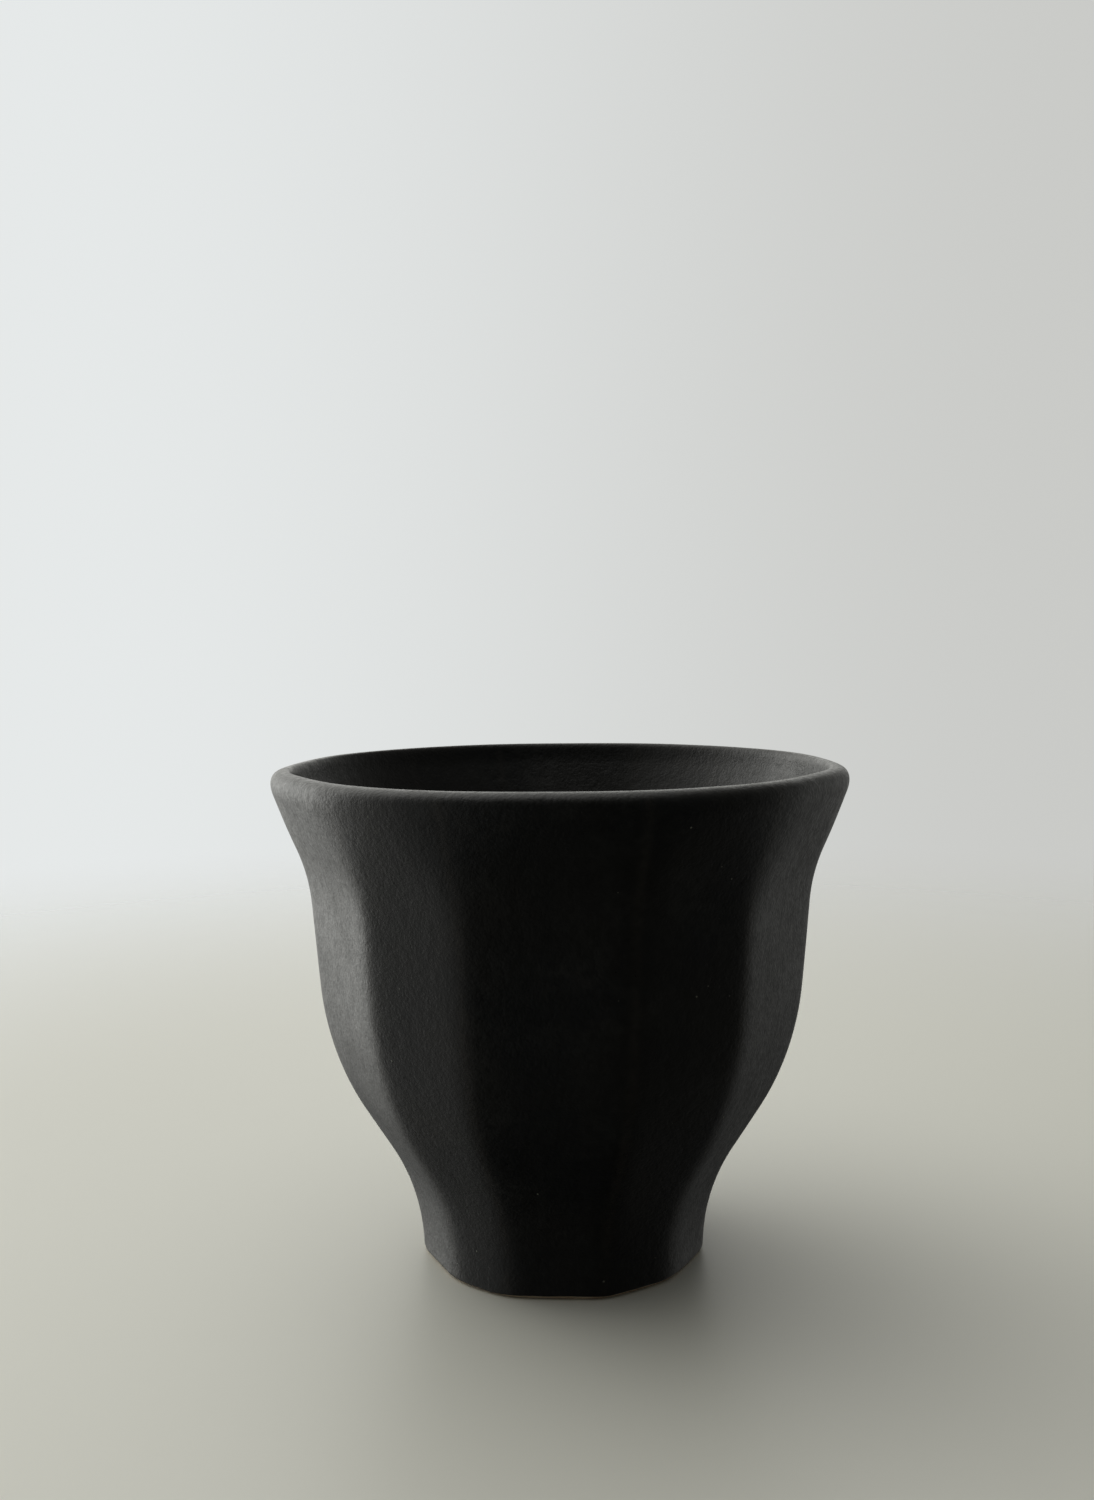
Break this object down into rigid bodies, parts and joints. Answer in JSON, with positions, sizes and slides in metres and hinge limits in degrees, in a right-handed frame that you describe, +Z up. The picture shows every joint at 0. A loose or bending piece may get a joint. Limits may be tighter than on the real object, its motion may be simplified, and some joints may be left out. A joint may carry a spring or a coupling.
{
  "type": "faceted clay pot",
  "caption": "Small open pot in black glazed clay, with upright hand-cut facets inside and out, a flared rolled lip and a narrow foot ring with a bare clay edge.",
  "frame": {"origin": "centre of the foot, on the surface that the pot stands on", "axes": "+Z up the pot's axis, out of its mouth; -Y towards the middle of the broad front facet, +X to the right of it"},
  "size_m": [0.1192, 0.1185, 0.104],
  "materials": {
    "black_glaze": "near-black satin glaze over clay, finely grained and faintly clouded, with sparse pale pinholes",
    "bare_clay": "unglazed buff clay, matte and slightly sandy, on the resting edge of the foot"
  },
  "bodies": {
    "root": {"foot_ring": "black_glaze", "floor_slab": "black_glaze", "belly_wall": "black_glaze", "body_wall": "black_glaze", "neck_collar": "black_glaze", "rim_coil": "black_glaze"}
  },
  "joints": []
}
